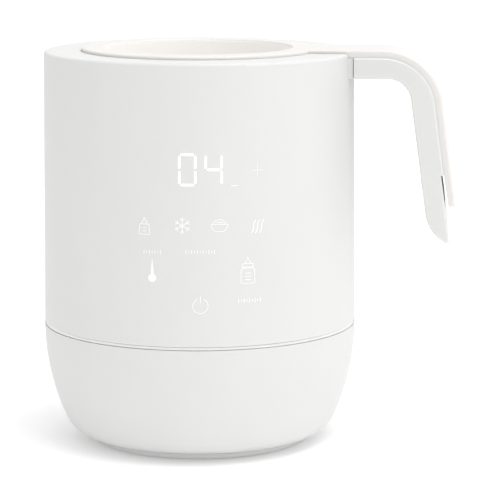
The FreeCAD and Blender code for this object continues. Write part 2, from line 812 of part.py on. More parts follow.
def handle_grip():
    body = new_body("handle_grip")
    inner_depth = strap_thickness + leg_thickness
    slot_depth = strap_thickness + slot_gap
    bend_height = ledge_height - arm_thickness - inner_bend
    bend_touch = bend_height + inner_bend * sine(leg_lean)
    leg_at_touch = (
        bend_start
        + (flange_top - bend_radius - bend_touch) * tangent(leg_lean)
        + (bend_radius - inner_depth) / cosine(leg_lean)
    )
    bend_across = leg_at_touch - inner_bend * cosine(leg_lean)
    tip_centre_depth = inner_depth - tip_radius
    nose_depth = slot_depth + tip_nose - tip_centre_depth
    nose_room = tip_radius - tip_nose
    nose_drop = root(nose_room * nose_room - nose_depth * nose_depth)
    outward = tip_radius / nose_room
    blank = extrude_across(
        body,
        "grip_blank",
        [
            (grip_start, ledge_height - arm_thickness),
            (bend_across, ledge_height - arm_thickness),
            (leg_at_touch, bend_touch, inner_bend, RIGHT),
            on_leg(inner_depth, heel_start),
            (
                *on_leg(tip_centre_depth + nose_depth * outward, heel_start + nose_drop * outward),
                tip_radius,
                LEFT,
            ),
            (*on_leg(slot_depth, heel_start + nose_drop), tip_nose, LEFT),
            on_leg(slot_depth, slot_start),
            on_leg(strap_thickness, slot_start),
            on_leg(strap_thickness, 0),
            (bend_start, ledge_height, bend_radius - strap_thickness, LEFT),
            (grip_start, ledge_height),
        ],
        grip_width,
    )
    half_width = grip_width.value / 2
    slot_height = on_leg(strap_thickness, slot_start)[1].value

    def is_side_edge(edge):
        middle = edge.valueAt((edge.FirstParameter + edge.LastParameter) / 2)
        on_side = abs(abs(middle.y) - half_width) < 0.01
        on_end = abs(middle.x - grip_start.value) < 0.01
        at_slot = edge.Length < 1.5 and abs(middle.z - slot_height) < 1.0
        return on_side and not on_end and not at_slot

    rounded = round_edges(body, "grip_edges", blank, edge_round, is_side_edge)
    document.recompute()
    if not rounded.isValid():
        raise RuntimeError("the grip's edges can't be rounded")
    arm_bottom = ledge_height - arm_thickness
    seat = arm_bottom + 1.8
    drill(body, "boss_sockets", 2.9, GRIP_SCREW_SPOTS, boss_end - 0.1, ledge_height + 1)
    drill(body, "grip_holes", SMALL_CLEARANCE, GRIP_SCREW_SPOTS, seat - 0.5, boss_end)
    drill(body, "head_recesses", 2.7, GRIP_SCREW_SPOTS, arm_bottom - 1, seat)
    face_handle(body)
    return body


def grip_screws():
    seat = ledge_height - arm_thickness + 1.8
    node = screws("grip_screws", (2.3, 1.4, 1.0, 6.6), at_height(GRIP_SCREW_SPOTS, seat))
    face_handle(node)
    return node


# ----------------------------------------------------------------------------------------- tank


def water_tank():
    body = new_body("water_tank")
    corner = 8.0
    outside = tank_radius + tank_wall
    flange_edge = opening_radius + 0.8
    revolve(
        body,
        "tank_shell",
        [
            (0, tank_bottom),
            (outside - corner, tank_bottom),
            (outside, tank_bottom + corner, corner, LEFT),
            (outside, tank_flange_top - tank_wall),
            (flange_edge, tank_flange_top - tank_wall),
            (flange_edge, tank_flange_top),
            (tank_radius, tank_flange_top),
            (tank_radius, tank_bottom + corner),
            (outside - corner, tank_bottom + tank_wall, corner - tank_wall, RIGHT),
            (0, tank_bottom + tank_wall),
        ],
    )
    return body


def flat_ring(label, inner, outer, low, high, holes=()):
    """A flat ring with screw holes."""
    body = new_body(label)
    sketch = new_sketch(body, "XY_Plane", f"{label}_sketch", low)
    draw_circles(sketch, outer, [(0, 0)])
    draw_circles(sketch, inner, [(0, 0)])
    if holes:
        draw_circles(sketch, SMALL_CLEARANCE, holes)
    extrude(body, f"{label}_pad", sketch, as_size(high) - low)
    return body


def tank_seal():
    return flat_ring("tank_seal", tank_radius + 0.8, opening_radius, tank_flange_top, ledge_underside)


def tank_retainer():
    return flat_ring(
        "tank_retainer", tank_radius + tank_wall + 0.6, retainer_circle + 3.4, retainer_bottom,
        retainer_top, RETAINER_SPOTS,
    )


def retainer_screws():
    spots = at_height(RETAINER_SPOTS, retainer_bottom)
    return screws("retainer_screws", (2.2, 1.6, 1.0, 5.2), spots)


# --------------------------------------------------------------------------------------- heater

PILLARS = ring_of(3, pillar_circle, 90.0)
plate_ear_top = plate_bottom + 3.0
element_height = plate_bottom + 0.3
element_gap_angle = 20.0
leg_bend = 4.0
shield_floor = 53.4


def leg_middle(side):
    """Where one of the element's two upright legs stands."""
    angle = math.radians(element_gap_angle)
    across = element_circle * math.cos(angle) + leg_bend * math.sin(angle)
    along = element_circle * math.sin(angle) - leg_bend * math.cos(angle)
    return across, along * side


LEGS = [leg_middle(side) for side in (-1, 1)]


def heater_plate():
    """A cast disc with three ears and a groove for the element in its underside."""
    body = new_body("heater_plate")
    raise_circles(body, "disc", 36.0, [(0, 0)], plate_bottom, tank_bottom)
    raise_circles(body, "ears", 5.0, PILLARS, plate_bottom, plate_ear_top)
    for index, angle in enumerate((90.0, 210.0, 330.0)):
        raise_rectangle(
            body, f"ear_web_{index + 1}", 30.0, pillar_circle, -5.0, 5.0, plate_bottom,
            plate_ear_top, as_size(angle),
        )
    drill(body, "ear_holes", LARGE_CLEARANCE, PILLARS, plate_bottom - 1, plate_ear_top + 1)
    drill(body, "probe_hole", 3.2, [(0, 0)], plate_bottom - 1, tank_bottom + 1)
    groove = element_radius + 0.1
    sketch = new_sketch(body, "XZ_Plane", "groove_profile")
    draw_circles(sketch, groove, [(element_circle, element_height)])
    feature = body.newObject("PartDesign::Groove", "element_groove")
    feature.Profile = sketch
    feature.ReferenceAxis = (sketch, ["V_Axis"])
    feature.Angle = 360
    return body


def tube(label, edges, radius):
    """A solid round tube along a smooth path of edges."""
    start = edges[0].valueAt(edges[0].FirstParameter)
    heading = edges[0].tangentAt(edges[0].FirstParameter)
    section = Part.Wire([Part.Circle(start, heading, radius).toShape()])
    shape = Part.Wire(edges).makePipeShell([section], True, False)
    item = document.addObject("Part::Feature", label)
    item.Shape = shape
    item.Placement = FreeCAD.Placement()
    return item


def rounded_path(points, bend):
    """Straight runs between the points, joined by arcs that touch both runs."""
    edges = []
    last = points[0]
    for before, corner, after in zip(points, points[1:], points[2:]):
        into = (corner - before).normalize()
        out = (after - corner).normalize()
        turn = into.getAngle(out)
        trim = bend * math.tan(turn / 2)
        first = corner - into * trim
        second = corner + out * trim
        inward = (out - into).normalize()
        to_arc = bend / math.cos(turn / 2) - bend
        edges.append(Part.LineSegment(last, first).toShape())
        edges.append(Part.Arc(first, corner + inward * to_arc, second).toShape())
        last = second
    edges.append(Part.LineSegment(last, points[-1]).toShape())
    return edges


def heating_element():
    """A tubular element: most of a circle in the plate's groove, with both ends turned down."""
    ring = element_circle.value
    height = element_height.value
    radius = element_radius.value
    gap = math.radians(element_gap_angle)
    up = FreeCAD.Vector(0, 0, 1)
    foot = 56.0

    def on_ring(angle):
        return FreeCAD.Vector(ring * math.cos(angle), ring * math.sin(angle), height)

    starts = (on_ring(gap), on_ring(-gap))
    headings = [
        FreeCAD.Vector(math.sin(gap), -math.cos(gap), 0),
        FreeCAD.Vector(math.sin(gap), math.cos(gap), 0),
    ]
    legs = []
    for start, heading in zip(starts, headings):
        turn = math.radians(45.0)
        halfway = start + heading * (leg_bend * math.sin(turn)) - up * (leg_bend * (1 - math.cos(turn)))
        end = start + heading * leg_bend - up * leg_bend
        below = FreeCAD.Vector(end.x, end.y, foot)
        legs.append((below, end, halfway, start))
    first, second = legs
    edges = [
        Part.LineSegment(first[0], first[1]).toShape(),
        Part.Arc(first[1], first[2], first[3]).toShape(),
        Part.Arc(first[3], on_ring(math.pi), second[3]).toShape(),
        Part.Arc(second[3], second[2], second[1]).toShape(),
        Part.LineSegment(second[1], second[0]).toShape(),
    ]
    return tube("heating_element", edges, radius - 0.05)


def element_terminals():
    pins = [
        rod(f"terminal_{index + 1}", 1.0, 6.5, (*middle, 49.5)) for index, middle in enumerate(LEGS)
    ]
    return group("element_terminals", pins)


def terminal_insulators():
    members = []
    for index, middle in enumerate(LEGS):
        name = f"insulator_{index + 1}"
        neck = rod(f"{name}_neck", 2.6, 3.0, (*middle, 52.0))
        collar = rod(f"{name}_collar", 3.4, 1.4, (*middle, shield_floor + shield_sheet))
        bush = fuse(f"{name}_bush", neck, collar)
        bore = rod(f"{name}_bore", 1.05, 6.0, (*middle, 51.0))
        members.append(cut(name, bush, bore))
    return group("terminal_insulators", members)


def heat_shield():
    body = new_body("heat_shield")
    revolve(
        body,
        "shield_dish",
        [
            (7.0, shield_floor),
            (33.0, shield_floor),
            (36.4, pillar_top),
            (46.0, pillar_top),
            (46.0, pillar_top + shield_sheet),
            (36.0, pillar_top + shield_sheet),
            (32.6, shield_floor + shield_sheet),
            (7.0, shield_floor + shield_sheet),
        ],
    )
    drill(body, "ear_holes", LARGE_CLEARANCE, PILLARS, pillar_top - 1, pillar_top + 2)
    drill(body, "leg_holes", 2.7, LEGS, shield_floor - 1, shield_floor + 2)
    return body


def heater_screws():
    spots = at_height(PILLARS, plate_ear_top)
    return screws("heater_screws", (2.6, 1.8, 1.25, 12.0), spots, DOWNWARD)


def temperature_sensor():
    """A probe through the plate that touches the tank's underside."""
    probe = rod("probe", 3.0, tank_bottom - plate_bottom, (0, 0, plate_bottom))
    collar = rod("probe_collar", 5.0, 1.5, (0, 0, plate_bottom - 1.5))
    return fuse("temperature_sensor", probe, collar)


def thermal_cutout():
    """A bimetal disc switch under the plate, with its two blades."""
    across = -13.5
    can = rod("cutout_can", 7.4, 4.0, (across, 0, plate_bottom - 4.0))
    case = rod("cutout_case", 6.6, 3.0, (across, 0, plate_bottom - 6.5))
    switch = fuse("cutout_switch", can, case)
    for index, along in enumerate((-4.5, 2.5)):
        low = (across - 0.4, along, plate_bottom - 8.0)
        high = (across + 0.4, along + 2.0, plate_bottom - 6.0)
        switch = fuse(f"cutout_blade_{index + 1}_fused", switch, block(f"cutout_blade_{index}", low, high))
    switch.Label = "thermal_cutout"
    return switch


def thermal_fuse():
    sleeve = rod("fuse_sleeve", 1.8, 11.0, (13.0, -5.5, plate_bottom - 1.9), TO_BACK)
    wire = rod("fuse_wire", 0.5, 17.0, (13.0, -8.5, plate_bottom - 1.9), TO_BACK)
    return fuse("thermal_fuse", sleeve, wire)


# -------------------------------------------------------------------------------------- chassis


def chassis():
    body = new_body("chassis")
    raise_circles(body, "deck", chassis_radius, [(0, 0)], chassis_bottom, chassis_top)
    raise_circles(body, "posts", 4.0, TOWERS, tower_top, chassis_bottom + 0.5)
    raise_circles(body, "pillars", 4.0, PILLARS, chassis_top - 0.5, pillar_top)
    drill(body, "post_holes", LARGE_PILOT, TOWERS, tower_top - 1, tower_top + 14.0)
    drill(body, "pillar_holes", LARGE_PILOT, PILLARS, chassis_top + 1, pillar_top + 1)
    drill(body, "frame_holes", LARGE_CLEARANCE, BOSS_SPOTS, chassis_bottom - 1, chassis_top + 1)
    cut_rectangle(body, "lead_window", -12.0, 33.0, -12.0, 12.0, chassis_bottom - 1, chassis_top + 1)
    cut_rectangle(
        body, "ribbon_window", -11.0, 11.0, -55.0, -48.5, chassis_bottom - 1, chassis_top + 1
    )
    return body


def chassis_screws():
    spots = at_height(BOSS_SPOTS, chassis_bottom)
    return screws("chassis_screws", (2.6, 1.8, 1.25, 12.0), spots)


def housing_screws():
    spots = at_height(TOWERS, screw_seat)
    return screws("housing_screws", (2.6, 2.0, 1.25, 18.0), spots)


# --------------------------------------------------------------------------------------- boards

main_board_top = main_board_bottom + board_sheet
BOARD_POSTS = four_corners(main_board_length / 2 - 4, main_board_width / 2 - 4)


def main_board():
    body = new_body("main_board")
    sketch = new_sketch(body, "XY_Plane", "main_board_sketch", main_board_bottom)
    half_length = main_board_length / 2
    half_width = main_board_width / 2
    draw_rectangle(sketch, -half_length, half_length, -half_width, half_width)
    draw_circles(sketch, SMALL_CLEARANCE, BOARD_POSTS)
    extrude(body, "main_board_pad", sketch, board_sheet)
    return body


def board_screws():
    return screws(
        "board_screws", (2.3, 1.6, 1.0, 7.5), at_height(BOARD_POSTS, main_board_top), DOWNWARD
    )


def on_board(name, left, right, back, front, height):
    """A block that stands on the main board."""
    return block(name, (left, back, main_board_top), (right, front, main_board_top + height))


def bevel_top(label, item, size):
    """Bevels the upper edges of a block."""
    document.recompute()
    top = item.Shape.BoundBox.ZMax
    beveled = document.addObject("Part::Chamfer", label)
    beveled.Base = item
    beveled.Edges = [
        (number + 1, size, size)
        for number, edge in enumerate(item.Shape.Edges)
        if abs(edge.BoundBox.ZMin - top) < 0.01
    ]
    return beveled


def relay():
    return bevel_top("relay", on_board("relay_case", -37.0, -18.0, -16.0, -5.0, 15.5), 0.6)


def transformer():
    """An iron core through a bobbin."""
    core = on_board("transformer_core", -36.0, -16.0, 0.0, 13.0, 17.0)
    bobbin = block(
        "transformer_bobbin", (-32.0, -3.5, main_board_top + 2.5), (-20.0, 16.5, main_board_top + 14.5)
    )
    return fuse("transformer", core, bobbin)


def capacitors():
    members = []
    for index, (across, along, radius, height) in enumerate(
        ((-6.0, -13.5, 4.5, 15.0), (6.0, -13.5, 4.0, 12.0), (16.5, -13.5, 4.0, 12.0))
    ):
        members.append(rod(f"capacitor_{index + 1}", radius, height, (across, along, main_board_top)))
    return group("capacitors", members)


def terminal_block():
    """A screw terminal with an open mouth above each of its two clamps."""
    item = on_board("terminal_case", 19.0, 34.0, -10.0, 10.0, 11.0)
    across = leg_middle(1)[0]
    for index, (_, along) in enumerate(LEGS):
        mouth = rod(f"terminal_mouth_{index + 1}", 2.0, 4.0, (across, along, main_board_top + 8.0))
        item = cut(f"terminal_cut_{index + 1}", item, mouth)
    item.Label = "terminal_block"
    return item


def board_connectors():
    """The sensor's socket, and the ribbon's socket at each of its two ends."""
    header_back = -display_back
    return group(
        "board_connectors",
        [
            on_board("sensor_socket", -4.0, 4.0, 8.0, 14.0, 6.0),
            on_board("ribbon_socket", -10.5, 10.5, -22.8, -18.8, 6.0),
            block("display_socket", (-10.5, header_back, 64.0), (10.5, header_back + 4.0, 70.0)),
        ],
    )


def controller_chip():
    return bevel_top("controller_chip", on_board("chip_case", 7.0, 17.0, 1.0, 11.0, 1.6), 0.3)


def buzzer():
    case = rod("buzzer_case", 5.0, 6.0, (-5.0, -1.5, main_board_top))
    sound_hole = rod("buzzer_hole", 1.0, 2.0, (-5.0, -1.5, main_board_top + 4.5))
    return cut("buzzer", case, sound_hole)


# -------------------------------------------------------------------------------------- display

display_front = display_back + board_sheet
DISPLAY_POSTS = [
    (side * display_post_side, height)
    for side in (-1, 1)
    for height in (display_post_low, display_post_high)
]
DIGIT_WINDOW = (-11.0, 17.0, 114.4, 132.4)


def display_board():
    body = new_body("display_board")
    sketch = new_sketch(body, "XZ_Plane", "display_board_sketch", display_back)
    draw_rectangle(sketch, -display_width / 2, display_width / 2, display_low, display_high)
    draw_circles(sketch, SMALL_CLEARANCE, DISPLAY_POSTS)
    extrude(body, "display_board_pad", sketch, board_sheet)
    return body


def display_screws():
    spots = [(across, -display_back, up) for across, up in DISPLAY_POSTS]
    return screws("display_screws", (2.2, 1.5, 1.0, 4.6), spots, TO_FRONT)


def mask_slab(body, name, half_width, low, high):
    """A slab with a flat back and a front that follows the housing's wall."""
    sketch = new_sketch(body, "XY_Plane", f"{name}_sketch", low)
    back = -(display_front + 0.2)
    half_width = as_size(half_width)
    front = -root(mask_radius * mask_radius - half_width * half_width)
    draw_outline(
        sketch,
        [
            (half_width, back),
            (-half_width, back),
            (-half_width, front),
            (half_width, front, mask_radius, LEFT),
        ],
    )
    return extrude(body, name, sketch, as_size(high) - low)


def light_mask():
    """Keeps the light of each symbol in a well of its own."""
    body = new_body("light_mask")
    clear = 4.0
    mask_slab(body, "mask_middle", 20.6, display_low + 2.5, display_high - 2.5)
    mask_slab(body, "mask_sides", 26.8, display_post_low + clear, display_post_high - clear)
    left, right, low, high = DIGIT_WINDOW
    deep = skirt_radius + 2
    cut_rectangle(
        body, "digit_window", left - 0.5, right + 0.5, low - 0.5, high + 0.5, display_back, deep,
        None, "XZ_Plane",
    )
    drill(body, "icon_wells", 2.8, ICON_SPOTS, display_back, deep, "XZ_Plane")
    return body


def digit_module():
    """Two seven-segment digits behind a flat lens: seven light bars for each digit."""
    left, right, low, high = DIGIT_WINDOW
    front = -(display_front + 4.0)
    item = block("digit_case", (left, front, low), (right, -display_front, high))
    bar_length = 4.6
    bar_width = 0.9
    middle_height = 123.4
    for digit, middle in enumerate((-4.85, 5.65)):
        bars = []
        for level in (-6.2, 0.0, 6.2):
            bars.append((middle, middle_height + level, bar_length / 2, bar_width / 2))
        for side in (-1, 1):
            for level in (-3.1, 3.1):
                bars.append((middle + 3.2 * side, middle_height + level, bar_width / 2, bar_length / 2))
        for index, (across, up, half_across, half_up) in enumerate(bars):
            tool = block(
                f"bar_{digit}_{index}",
                (across - half_across, front - 0.2, up - half_up),
                (across + half_across, front + 0.4, up + half_up),
            )
            item = cut(f"digit_cut_{digit}_{index}", item, tool)
    item.Label = "digit_module"
    return item


def icon_leds():
    members = []
    for index, (across, up) in enumerate(ICON_SPOTS):
        low = (across - 0.8, -(display_front + 0.9), up - 0.8)
        high = (across + 0.8, -display_front, up + 0.8)
        members.append(block(f"icon_led_{index + 1}", low, high))
    return group("icon_leds", members)


def touch_rings():
    """Springy conductive rings that carry each touch field from the board to the wall."""
    members = []
    for index, (across, up) in enumerate(TOUCH_SPOTS):
        name = f"touch_ring_{index + 1}"
        start = (across, -display_front, up)
        outer = rod(f"{name}_outside", 2.5, 12.0, start, TO_FRONT)
        inner = rod(f"{name}_inside", 1.7, 12.0, start, TO_FRONT)
        sleeve = cut(f"{name}_sleeve", outer, inner)
        limit = rod(f"{name}_limit", mask_radius + 0.2, 10.0, (0, 0, up - 5.0))
        trimmed = document.addObject("Part::Common", name)
        trimmed.Base = sleeve
        trimmed.Tool = limit
        members.append(trimmed)
    return group("touch_rings", members)


def display_ribbon():
    """A flat lead down from the display board to the main board."""
    body = new_body("display_ribbon")
    sketch = new_sketch(body, "YZ_Plane", "ribbon_profile")
    thick = 0.5
    behind = -display_back + 2.0
    socket = -21.0
    upper = 40.0
    lower = 30.0
    draw_outline(
        sketch,
        [
            (behind, 64.0),
            (behind, upper),
            (socket, lower),
            (socket, main_board_top + 6.0),
            (socket + thick, main_board_top + 6.0),
            (socket + thick, lower + thick),
            (behind + thick, upper + thick),
            (behind + thick, 64.0),
        ],
    )
    extrude(body, "ribbon", sketch, 18.0, both=True)
    return body


# ---------------------------------------------------------------------------------------- leads


def heater_leads():
    members = []
    for index, (across, along) in enumerate(LEGS):
        x, y = across.value, along.value
        aside = 2.0
        points = [
            FreeCAD.Vector(x, y, 49.5),
            FreeCAD.Vector(x, y, 43.0),
            FreeCAD.Vector(x + aside, y, 36.5),
            FreeCAD.Vector(x, y, 30.0),
            FreeCAD.Vector(x, y, main_board_top.value + 8.0),
        ]
        members.append(tube(f"heater_lead_{index + 1}", rounded_path(points, 5.0), 1.2))
    return group("heater_leads", members)


def sensor_leads():
    members = []
    for index, x in enumerate((-1.3, 1.3)):
        points = [
            FreeCAD.Vector(x, 0, plate_bottom.value - 1.5),
            FreeCAD.Vector(x, 0, 45.0),
            FreeCAD.Vector(x, 11.0, 32.0),
            FreeCAD.Vector(x, 11.0, main_board_top.value + 6.0),
        ]
        members.append(tube(f"sensor_lead_{index + 1}", rounded_path(points, 5.0), 0.6))
    return group("sensor_leads", members)


# -------------------------------------------------------------------------------- build and write

MAKERS = (
    upper_housing, lower_housing, seam_gasket, base_cover, foot_ring, inlet_grommet,
    lift_basket, handle_grip, grip_screws,
    water_tank, tank_seal, tank_retainer, retainer_screws,
    heater_plate, heating_element, element_terminals, terminal_insulators, heat_shield,
    heater_screws, temperature_sensor, thermal_cutout, thermal_fuse,
    chassis, chassis_screws, housing_screws,
    main_board, board_screws, relay, transformer, capacitors, terminal_block, board_connectors,
    controller_chip, buzzer,
    display_board, display_screws, light_mask, digit_module, icon_leds, touch_rings,
    display_ribbon, heater_leads, sensor_leads,
)


def check_objects():
    """Stops at any object that failed, and at any cut that took nothing away."""
    for item in document.Objects:
        if {"Invalid", "Error"} & set(item.State):
            raise RuntimeError(f"{item.Label} failed: {item.State}")
        if item.TypeId in ("PartDesign::Pocket", "PartDesign::Groove"):
            if item.Shape.Volume > item.BaseFeature.Shape.Volume - 0.01:
                raise RuntimeError(f"{item.Label} cuts nothing")


def write_node(node):
    if node.Shape.isNull() or not node.Shape.isValid():
        raise RuntimeError(f"{node.Label} has no valid shape")
    node.Shape.exportStep(os.path.join("parts", f"{node.Label}.step"))
    box = node.Shape.BoundBox
    print(
        f"{node.Label}: {len(node.Shape.Solids)} solids, {node.Shape.Volume / 1000:.2f} cm3, "
        f"z {box.ZMin:.2f} to {box.ZMax:.2f}"
    )


nodes = [maker() for maker in MAKERS]
document.recompute()
check_objects()
os.makedirs("parts", exist_ok=True)
for node in nodes:
    write_node(node)
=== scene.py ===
"""Looks of the bottle warmer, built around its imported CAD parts. All lengths are in metres."""

import json
import math

import bmesh
import bpy
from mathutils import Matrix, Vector


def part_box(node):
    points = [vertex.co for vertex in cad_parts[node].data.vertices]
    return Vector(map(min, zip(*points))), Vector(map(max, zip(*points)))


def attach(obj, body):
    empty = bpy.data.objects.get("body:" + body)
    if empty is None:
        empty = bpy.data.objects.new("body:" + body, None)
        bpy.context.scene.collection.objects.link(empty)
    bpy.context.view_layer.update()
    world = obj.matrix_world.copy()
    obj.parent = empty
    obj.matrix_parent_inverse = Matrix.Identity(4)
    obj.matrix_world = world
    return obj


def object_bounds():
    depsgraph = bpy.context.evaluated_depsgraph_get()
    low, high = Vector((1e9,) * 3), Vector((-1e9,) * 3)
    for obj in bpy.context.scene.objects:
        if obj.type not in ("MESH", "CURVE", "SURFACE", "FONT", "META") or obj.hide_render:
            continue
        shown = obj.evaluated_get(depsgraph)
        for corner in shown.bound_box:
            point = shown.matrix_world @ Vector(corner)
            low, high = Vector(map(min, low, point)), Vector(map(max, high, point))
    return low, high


MM = 0.001

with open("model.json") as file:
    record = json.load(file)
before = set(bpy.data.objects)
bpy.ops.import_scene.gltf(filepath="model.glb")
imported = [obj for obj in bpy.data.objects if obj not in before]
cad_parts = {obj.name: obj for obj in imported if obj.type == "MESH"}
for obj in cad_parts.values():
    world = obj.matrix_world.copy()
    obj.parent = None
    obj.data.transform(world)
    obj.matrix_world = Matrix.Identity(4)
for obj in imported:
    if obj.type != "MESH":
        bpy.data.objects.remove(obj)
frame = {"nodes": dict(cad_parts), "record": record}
cad_low, cad_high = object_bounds()
record_slots = {part["node"]: part["material_slot"] for part in frame["record"]["subparts"]}

# The basket's bore: its radius, the floor below it, and its upper end.
well = next(mount for mount in frame["record"]["mounts"] if mount["name"] == "bottle_well")
WELL_RADIUS = well["dims"]["r_mm"] * MM
CUP_FLOOR = 80.0 * MM
CUP_MOUTH = well["pos_m"][2] + well["dims"]["length_mm"] * MM / 2


# ------------------------------------------------------------------------------ material helpers

# Places of a Mix node's two colour inputs and its colour output among its sockets.
FIRST_COLOUR = 6
SECOND_COLOUR = 7
MIXED_COLOUR = 2


def add_node(tree, kind, inputs=None, **settings):
    """Adds a node, sets its properties, and fills or links its inputs."""
    node = tree.nodes.new(kind)
    for name, value in settings.items():
        setattr(node, name, value)
    for name, value in (inputs or {}).items():
        if isinstance(value, bpy.types.NodeSocket):
            tree.links.new(value, node.inputs[name])
        else:
            node.inputs[name].default_value = value
    return node


def start_material(name):
    """A material with one shader, and its place in the row frame as texture coordinates."""
    material = bpy.data.materials.new(name)
    material.use_nodes = True
    tree = material.node_tree
    shader = tree.nodes["Principled BSDF"]
    place = add_node(tree, "ShaderNodeTexCoord").outputs["Object"]
    return material, tree, shader, place


def noise(tree, place, size, detail=3.0, roughness=0.5):
    """Noise whose blotches are about this size across."""
    node = add_node(
        tree,
        "ShaderNodeTexNoise",
        {"Vector": place, "Scale": 1.0 / size, "Detail": detail, "Roughness": roughness},
    )
    return node.outputs["Fac"]


def stretched(tree, place, scale):
    """The same place, scaled by a different amount along each axis."""
    node = add_node(tree, "ShaderNodeMapping", {"Vector": place, "Scale": scale})
    return node.outputs["Vector"]


def spread(tree, factor, low, high, start=0.3, end=0.7):
    """Maps the middle of a noise's range to the range from low to high."""
    node = add_node(
        tree,
        "ShaderNodeMapRange",
        {"Value": factor, "From Min": start, "From Max": end, "To Min": low, "To Max": high},
    )
    return node.outputs["Result"]


def blend_colours(tree, factor, first, second):
    node = add_node(
        tree, "ShaderNodeMix", {"Factor": factor}, data_type="RGBA", blend_type="MIX"
    )
    for socket, value in ((FIRST_COLOUR, first), (SECOND_COLOUR, second)):
        if isinstance(value, bpy.types.NodeSocket):
            tree.links.new(value, node.inputs[socket])
        else:
            node.inputs[socket].default_value = (*value, 1.0)
    return node.outputs[MIXED_COLOUR]


def scaled(colour, share):
    return tuple(channel * share for channel in colour)


def multiplied(tree, first, second):
    node = add_node(tree, "ShaderNodeMath", {0: first, 1: second}, operation="MULTIPLY")
    return node.outputs["Value"]


def add_bump(tree, shader, height, depth):
    bump = add_node(tree, "ShaderNodeBump", {"Height": height, "Distance": depth, "Strength": 1.0})
    tree.links.new(bump.outputs["Normal"], shader.inputs["Normal"])


def moulded_plastic(name, colour, roughness, grain=0.45 * MM, depth=0.006 * MM, drift=0.985):
    """Moulded plastic: a fine spark grain, and a slow drift of tone and gloss along the wall."""
    material, tree, shader, place = start_material(name)
    fine = noise(tree, place, grain, 2.0)
    flow = noise(tree, stretched(tree, place, (1.0, 1.0, 0.4)), 26 * MM, 2.0)
    tone = blend_colours(tree, spread(tree, flow, 0.0, 1.0), scaled(colour, drift), colour)
    tree.links.new(tone, shader.inputs["Base Color"])
    gloss = spread(tree, flow, roughness - 0.03, roughness + 0.03)
    grit = spread(tree, fine, -0.04, 0.04)
    total = add_node(tree, "ShaderNodeMath", {0: gloss, 1: grit}, operation="ADD")
    tree.links.new(total.outputs["Value"], shader.inputs["Roughness"])
    add_bump(tree, shader, fine, depth)
    return material, tree, shader


def pass_some_light(shader, weight, depth):
    """Lets light soak into white plastic and come out a little further on."""
    shader.inputs["Subsurface Weight"].default_value = weight
    shader.inputs["Subsurface Radius"].default_value = (1.0, 0.96, 0.9)
    shader.inputs["Subsurface Scale"].default_value = depth


def housing_plastic():
    """Satin white shells that pass a little light, as thick white plastic does."""
    material, _, shader = moulded_plastic("housing_plastic", (0.695, 0.695, 0.69), 0.48)
    shader.inputs["IOR"].default_value = 1.46
    pass_some_light(shader, 0.08, 0.8 * MM)
    return material


def seam_plastic():
    """The pale band between the shells."""
    material, _, shader = moulded_plastic("seam_plastic", (0.86, 0.86, 0.85), 0.40, 0.3 * MM)
    pass_some_light(shader, 0.5, 1.5 * MM)
    return material


def painted_glow_mask(tree, place):
    """Where the painted glow goes: one on the cup's inner wall and floor, fading to nothing at its
    mouth and outside it.
    """
    parts = add_node(tree, "ShaderNodeSeparateXYZ", {"Vector": place}).outputs
    flat = add_node(tree, "ShaderNodeCombineXYZ", {"X": parts["X"], "Y": parts["Y"]}).outputs["Vector"]
    reach = add_node(tree, "ShaderNodeVectorMath", {0: flat}, operation="LENGTH").outputs["Value"]
    within = spread(tree, reach, 1.0, 0.0, WELL_RADIUS, WELL_RADIUS + 1.2 * MM)
    above = spread(tree, parts["Z"], 0.0, 1.0, CUP_FLOOR - 0.5 * MM, CUP_FLOOR - 0.1 * MM)
    below = spread(tree, parts["Z"], 1.0, 0.0, CUP_MOUTH, CUP_MOUTH + 0.6 * MM)
    return multiplied(tree, within, multiplied(tree, above, below))


def basket_plastic():
    """The lift-out basket: softer and creamier than the shells, with a painted glow inside its cup in
    place of the light that fills the well.
    """
    material, tree, shader = moulded_plastic("basket_plastic", (0.725, 0.71, 0.69), 0.47)
    pass_some_light(shader, 0.3, 2.2 * MM)
    place = add_node(tree, "ShaderNodeTexCoord").outputs["Object"]
    # Painted light: a faint emission on the cup's inside, standing in for light that soaks through the
    # thin wall and fills the well.
    painted_cup_glow = spread(tree, painted_glow_mask(tree, place), 0.0, 0.2, 0.0, 1.0)
    tree.links.new(painted_cup_glow, shader.inputs["Emission Strength"])
    shader.inputs["Emission Color"].default_value = (1.0, 0.985, 0.965, 1.0)
    return material


def grip_plastic():
    material, _, shader = moulded_plastic("grip_plastic", (0.70, 0.705, 0.685), 0.38)
    pass_some_light(shader, 0.3, 2.2 * MM)
    return material


def soft_rubber(name, colour, roughness):
    """Rubber and silicone: matt, with a chalky bloom."""
    material, tree, shader, place = start_material(name)
    bloom = noise(tree, place, 5 * MM, 4.0, 0.6)
    tone = blend_colours(tree, spread(tree, bloom, 0.0, 1.0), scaled(colour, 0.86), colour)
    tree.links.new(tone, shader.inputs["Base Color"])
    tree.links.new(
        spread(tree, bloom, roughness + 0.06, roughness - 0.06), shader.inputs["Roughness"]
    )
    add_bump(tree, shader, noise(tree, place, 0.25 * MM, 3.0), 0.012 * MM)
    return material


def foot_rubber():
    return soft_rubber("foot_rubber", (0.30, 0.30, 0.30), 0.78)


def silicone():
    return soft_rubber("silicone", (0.72, 0.72, 0.70), 0.62)


def inner_plastic():
    material, _, _ = moulded_plastic("inner_plastic", (0.74, 0.74, 0.72), 0.5, 0.7 * MM, 0.015 * MM)
    return material


